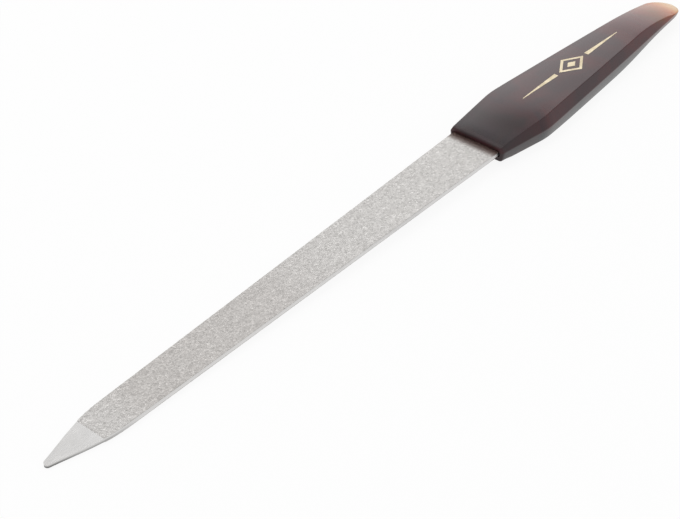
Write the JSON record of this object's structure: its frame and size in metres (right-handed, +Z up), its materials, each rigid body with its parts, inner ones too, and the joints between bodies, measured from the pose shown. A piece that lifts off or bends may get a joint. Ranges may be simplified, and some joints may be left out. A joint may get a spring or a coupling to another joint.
{
  "type": "nail file",
  "caption": "Flat pointed steel nail file with sapphire grit on both faces and a bevelled tortoiseshell plastic handle moulded around its tang.",
  "frame": {"origin": "under the middle of the file's length and width, in the plane of the table on which the flat of the handle and the tip of the blade lie", "axes": "+X along the file from the blade's point to the handle's tail, +Y across it, +Z up from the table; the blade climbs 1.2 degrees from its point to the handle"},
  "size_m": [0.1507, 0.0126, 0.0046],
  "materials": {
    "steel": "fine satin",
    "grit": "coarse crystalline grit bonded in bright metal",
    "tortoiseshell": "polished, mottled, translucent where thin",
    "gold_foil": "hot-stamped foil, satin"
  },
  "bodies": {
    "root": {"blade": "steel", "upper_grit": "grit", "lower_grit": "grit", "handle": "tortoiseshell", "foil_lozenge": "gold_foil", "foil_pip": "gold_foil", "foil_rule_front": "gold_foil", "foil_rule_rear": "gold_foil"}
  },
  "joints": []
}
